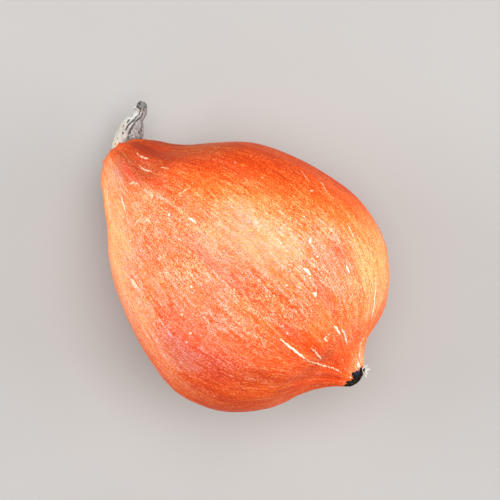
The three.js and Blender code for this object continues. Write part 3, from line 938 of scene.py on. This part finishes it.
def stem_mesh():
    """A twisted, grooved stalk swept along its line, with its kink, its holes and its broken end."""
    share = np.linspace(0, 1, STEM_RINGS)
    stem_length, middle, forward, side, up = stalk_line(share)
    radius = np.interp(share, *smooth_line(STEM_OUTLINE).T)[:, None]
    turn = np.linspace(0, 2 * math.pi, STEM_COLUMNS, endpoint=False)
    shares, turns = np.meshgrid(share, turn, indexing="ij")
    heading = np.degrees(turns)
    fibre = np.stack([shares * stem_length, STALK_RADIUS * np.cos(turns), STALK_RADIUS * np.sin(turns)], -1)
    fibre = fibre.reshape(-1, 3)
    degrees = heading + RIDGE_WANDER * uneven(fibre * (0.35, 0.6, 0.6), 3).reshape(shares.shape)
    twist = np.interp(shares, *smooth_line(STEM_TWIST).T)

    # how far out its skin is from its middle, with its grooves, ridges, kink and holes
    groove = stalk_grooves(shares, degrees, twist, radius)
    at, half_width, half_length, crack_depth = KINK_CRACK
    kinked = shares - KINK + CRACK_SLANT * apart(heading, 3)
    kink = hump(kinked / half_length) * hump((apart(heading, at) / half_width) ** 2)
    corky = uneven(fibre * (0.5, 1, 1), 1.6, 3).reshape(shares.shape)
    ridges, first, ridge_height = STEM_RIDGES
    swelling = FULLNESS + ridge_height * np.cos(np.radians(ridges * (degrees - twist - first)))
    swelling += CORKINESS * corky - GROOVE_DEPTH * groove - crack_depth * kink
    reach = radius * (swelling + stalk_bends(shares, heading))
    for place, at, long, wide in STEM_HOLES:
        along = (shares - place) * stem_length / long
        hole = hump(np.hypot(along, np.radians(apart(heading, at)) * MIDDLE_RADIUS / wide))
        groove = np.maximum(groove, 1.3 * hole)
        reach -= HOLE_DEPTH * hole

    # the broken rim: how much further than the line it reaches, in mm
    fray = uneven(fibre * (0.1, 1, 1), 1.1).reshape(shares.shape)
    ragged = 1.1 * fray - 0.5 + 0.6 * np.sin(turns) + np.maximum(-np.cos(turns), 0)
    ragged *= ramp(shares, 0.9, 1)
    across = up[:, None] * np.cos(turns)[..., None] + side[:, None] * np.sin(turns)[..., None]
    points = middle[:, None] + across * reach[..., None] + forward[:, None] * ragged[..., None]

    # the broken end: rings that run down inside that rim to a shallow torn floor
    rim = points[-1]
    narrowed = np.linspace(1, 0, TIP_RINGS + 2)[1:-1]
    torn = uneven(np.stack([np.cos(turn), np.sin(turn), 0 * turn], -1), 0.5)
    inner = []
    for share_in in narrowed:
        sunk = TIP_HOLLOW * (1 - share_in) ** 0.5 + TIP_TORN * torn * share_in
        inner.append(middle[-1] + (rim - middle[-1]) * share_in - forward[-1] * sunk[:, None])
    end = middle[-1] - forward[-1] * TIP_HOLLOW
    points = np.concatenate([points.reshape(-1, 3), *inner, [middle[0]], [end]])
    points = keep_in_frame(points + skin_point(FRUIT_LENGTH, 0.0) / MM)
    rings = STEM_RINGS + TIP_RINGS
    foot = rings * STEM_COLUMNS
    mesh = bpy.data.meshes.new("squash_stem")
    mesh.from_pydata(points * MM, [], close_rings(rings, STEM_COLUMNS, 0, foot, foot + 1, other_way=True))

    # where it is dark, how its fibres run, its paler side, the sap and the painted shade in the crevice
    # above the neck
    outside, inside = tip_darkness(shares, heading, turn, narrowed)
    dark = np.maximum(np.maximum(groove, 1.1 * kink), outside)
    set_values(mesh, "groove", np.concatenate([dark.ravel(), inside.ravel(), [0, 0.4]]))
    tip_fibre = (fibre[-STEM_COLUMNS:] * narrowed[:, None, None]).reshape(-1, 3)
    set_values(mesh, "fibre", np.concatenate([fibre, tip_fibre, [(0, 0, 0), (0, 0, 0)]]))
    extra = len(points) - shares.size
    set_values(mesh, "share", np.concatenate([shares.ravel(), np.full(extra, 1.0)]))
    at, pale = LIP
    lip = pale * ramp(narrowed, 0.45, 0.8)[:, None] * np.maximum(np.cos(turn - math.radians(at)), 0)
    # the left side is painted paler, partly the stalk's own cream and partly painted light
    set_values(mesh, "left_side", np.concatenate([np.sin(turns).ravel(), lip.ravel(), [0, 0]]))
    place, at, size = SAP_DOT
    along = (shares - place) * stem_length
    sap = hump(np.hypot(along, np.radians(apart(heading, at)) * FOOT_RADIUS) / size)
    set_values(mesh, "sap", np.concatenate([sap.ravel(), np.zeros(extra)]))
    # painted shade in the crevice where the stalk's right side meets the neck
    crevice_shade = ramp(0.47 - 0.06 * np.sin(turns) - shares, -0.02, 0.03) * ramp(-np.sin(turns), -0.5, 0.1)
    set_values(mesh, "crevice_shade", np.concatenate([crevice_shade.ravel(), np.zeros(extra)]))
    return mesh


def stalk_finish():
    """Dried corky stalk: grey, with a cream side that is partly painted light and a mauve side, fine fibres
    and dark cracked grooves.
    """
    material, shader = new_finish("dried_stalk")
    fibre = read_value(shader, "fibre", vector=True)
    fibres = grain(shader, fibre, 0.5, stretch=(0.12, 1, 1), detail=3, roughness=0.65)
    blotches = grain(shader, fibre, 3, stretch=(0.6, 1, 1), detail=3)
    crumbs = grain(shader, fibre, 0.7, detail=3, roughness=0.7)
    # painted light: the left side is paler, partly its own cream and partly painted light
    side = maths(shader, "MULTIPLY_ADD", blotches, 1.6, read_value(shader, "left_side"))
    share = read_value(shader, "share")
    skin = blend(shader, step(shader, side, 0.0, 1.5), STALK_MAUVE, STALK_CREAM)
    skin = blend(shader, step(shader, blotches, 0.35, 0.6, 0.5, 0.1), skin, STALK_GREY)
    past_kink = step(shader, share, 0.62, 0.80, 0.0, 0.9)
    # whiter past the kink on the left side, partly bleached and partly painted light
    bleached_and_lit = maths(shader, "MULTIPLY", past_kink, step(shader, side, -0.4, 0.8))
    skin = blend(shader, bleached_and_lit, skin, STALK_BLEACHED_LIT)
    near_tip = step(shader, share, 0.93, 1.0, 0.0, 0.8)
    weathered = maths(shader, "MULTIPLY", near_tip, step(shader, side, 1.5, 0.7))
    skin = blend(shader, weathered, skin, TIP_GREY)
    skin = blend(shader, step(shader, fibres, 0.62, 0.35, 0, 0.45), skin, GROOVE_BROWN)
    near_foot = step(shader, share, 0.46, 0.37)
    skin = blend(shader, maths(shader, "MULTIPLY", near_foot, 0.6), skin, STALK_CREAM)
    crack_place = scaled(shader, fibre, (0.45, 0.9, 0.9))
    cracks = add(shader, "TexVoronoi", {"Vector": crack_place, "Scale": 1.0}, feature="DISTANCE_TO_EDGE")
    netted = maths(shader, "MULTIPLY", step(shader, cracks.outputs["Distance"], 0.12, 0.02),
                   step(shader, side, 1.2, 0.4))
    dark = maths(shader, "MULTIPLY_ADD", crumbs, 0.7, read_value(shader, "groove"))
    dark = maths(shader, "MULTIPLY_ADD", netted, 0.58, dark)
    groove = step(shader, dark, 0.65, 1.15, 0, 0.92)
    # painted shade in the crevice above the neck
    crevice_shade = maths(shader, "MULTIPLY", read_value(shader, "crevice_shade"), 0.75)
    skin = blend(shader, maths(shader, "MAXIMUM", groove, crevice_shade), skin, GROOVE_BROWN)
    sap = read_value(shader, "sap")
    skin = blend(shader, step(shader, sap, 0.02, 0.3), skin, SAP_STAIN)
    skin = blend(shader, step(shader, sap, 0.4, 0.8), skin, SAP_BROWN)
    wire(shader, "Base Color", skin)
    wire(shader, "Roughness", step(shader, crumbs, 0.3, 0.7, 0.8, 0.95))
    shader.inputs["Specular IOR Level"].default_value = 0.2
    height = total(shader, (fibres, 1.0), (crumbs, 0.7), (groove, -1.0), (netted, -0.6))
    roughen(shader, height, 0.0003)
    return material


place_piece(stem_mesh(), "squash_stem", "stem", stalk_finish())


# ------------------------------------------------------------
# The rest of the flower: the dried foot of the blossom, a small torn papery cup that still clings to
# the side of the black scar.
CUP_DIRECTION = Vector((0.50, 0.45, 0.74)).normalized()
CUP_FOOT = 0.9  # radius of its foot
CUP_LENGTH = 2.6  # of its wall, from the foot to the rim between the teeth
CUP_TEETH = [  # degrees round from its outer side, length, half width in degrees
    (14, 2.4, 22), (-42, 0.7, 14), (-98, 2.1, 24), (-140, 0.6, 12),
    (62, 0.8, 16), (105, 1.5, 15), (160, 0.7, 22),
]
CUP_FLARE = (0.35, 0.06)  # how far the wall leans out for each mm of it, and how much more with each mm
CUP_RISE = (0.9, 0.07)  # how far it rises for each mm of it, and how much less with each mm
CUP_RIBS = (7, 0.12)  # how many, and how high they are at the rim
CRUMPLES = (0.45, 0.35, 0.3)  # how wide, and how far they move the rim outwards and upwards
RIM_RAGGED = 0.12  # as a share of the wall's length
PAPER_THICKNESS = 0.32
CUP_COLUMNS = 180
CUP_ROWS = 28

PAPER_PALE = (0.88, 0.85, 0.80)
PAPER_GREY = (0.30, 0.30, 0.27)
PAPER_BLACK = (0.020, 0.020, 0.024)


def cup_mesh():
    """A thin flaring wall with a torn rim, closed underneath, as crumpled as dry paper."""
    turn = np.linspace(0, 2 * math.pi, CUP_COLUMNS, endpoint=False)
    shares, turns = np.meshgrid(np.linspace(0, 1, CUP_ROWS), turn, indexing="ij")
    length = np.full(turn.shape, CUP_LENGTH)
    for degrees, more, half_width in CUP_TEETH:
        off = np.abs(apart(np.degrees(turn), degrees))
        length += more * np.clip(1 - off / half_width, 0, 1) ** 0.8
    flat = np.stack([np.cos(turns), np.sin(turns), shares * 2], -1).reshape(-1, 3)
    wide, moved_out, moved_up = CRUMPLES
    crumple = uneven(flat, wide, 3).reshape(shares.shape)
    walked = shares * length * (1 + RIM_RAGGED * crumple[-1])
    flare, more_flare = CUP_FLARE
    ribs, rib_height = CUP_RIBS
    reach = CUP_FOOT + walked * (flare + more_flare * walked)
    reach += shares * (moved_out * crumple + rib_height * np.cos(ribs * turns))
    rise, less_rise = CUP_RISE
    depth = walked * (rise - less_rise * walked) + moved_up * shares * crumple[:, ::-1]
    thick = PAPER_THICKNESS * (1.6 - shares)  # thinner towards the rim
    outer = np.stack([reach * np.cos(turns), reach * np.sin(turns), depth], -1)
    inner_reach = np.maximum(reach - 0.75 * thick, 0.2)
    inner_depth = depth + 0.6 * thick * (1 - shares)
    inner = np.stack([inner_reach * np.cos(turns), inner_reach * np.sin(turns), inner_depth], -1)
    ends = [(0, 0, -0.8), (0, 0, 0.35)]  # the middles of its underside and of its floor
    wall = np.concatenate([outer.reshape(-1, 3), inner[::-1].reshape(-1, 3), ends])

    outwards = PICTURE_RIGHT - PICTURE_RIGHT.dot(CUP_DIRECTION) * CUP_DIRECTION
    outwards.normalize()
    turned = np.array([outwards, CUP_DIRECTION.cross(outwards), CUP_DIRECTION])
    points = wall @ turned * MM
    scale, shift = fit_to_node(points, "flower_remnant")
    points = points * scale + shift

    rings = 2 * CUP_ROWS
    under = rings * CUP_COLUMNS
    mesh = bpy.data.meshes.new("squash_flower_rest")
    mesh.from_pydata(points, [], close_rings(rings, CUP_COLUMNS, 0, under, under + 1))
    set_values(mesh, "height", np.concatenate([shares.ravel(), shares[::-1].ravel(), [0, 0]]))
    set_values(mesh, "around_cup", np.concatenate([flat, flat[::-1], [(0, 0, 0), (0, 0, 0)]]))
    return mesh


def paper_finish():
    """Bleached papery flower tissue, thin and veined, grey in its folds and black at its foot, partly black
    specks and partly painted shade in its hollow.
    """
    material, shader = new_finish("dried_petal")
    around_cup = read_value(shader, "around_cup", vector=True)
    veins = grain(shader, around_cup, 0.16, stretch=(1, 1, 0.25), detail=3, roughness=0.6)
    blotches = grain(shader, around_cup, 0.7, detail=3)
    skin = blend(shader, step(shader, veins, 0.38, 0.62), PAPER_GREY, PAPER_PALE)
    # black at the foot and floor: partly black specks and partly painted shade in the cup's hollow
    dark = maths(shader, "MULTIPLY_ADD", read_value(shader, "height"), -1.4, blotches)
    skin = blend(shader, step(shader, dark, -0.1, 0.2), skin, PAPER_BLACK)
    wire(shader, "Base Color", skin)
    wire(shader, "Roughness", step(shader, veins, 0.3, 0.7, 0.7, 0.9))
    shader.inputs["Specular IOR Level"].default_value = 0.25
    roughen(shader, veins, 0.00015)
    return material


place_piece(cup_mesh(), "squash_flower_rest", "flower_remnant", paper_finish())


# ------------------------------------------------------------
# Its size, beside the frame's.
boxes = {"cad": cad_box, "visual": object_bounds()}
{name: [list(corner) for corner in box] for name, box in boxes.items()}
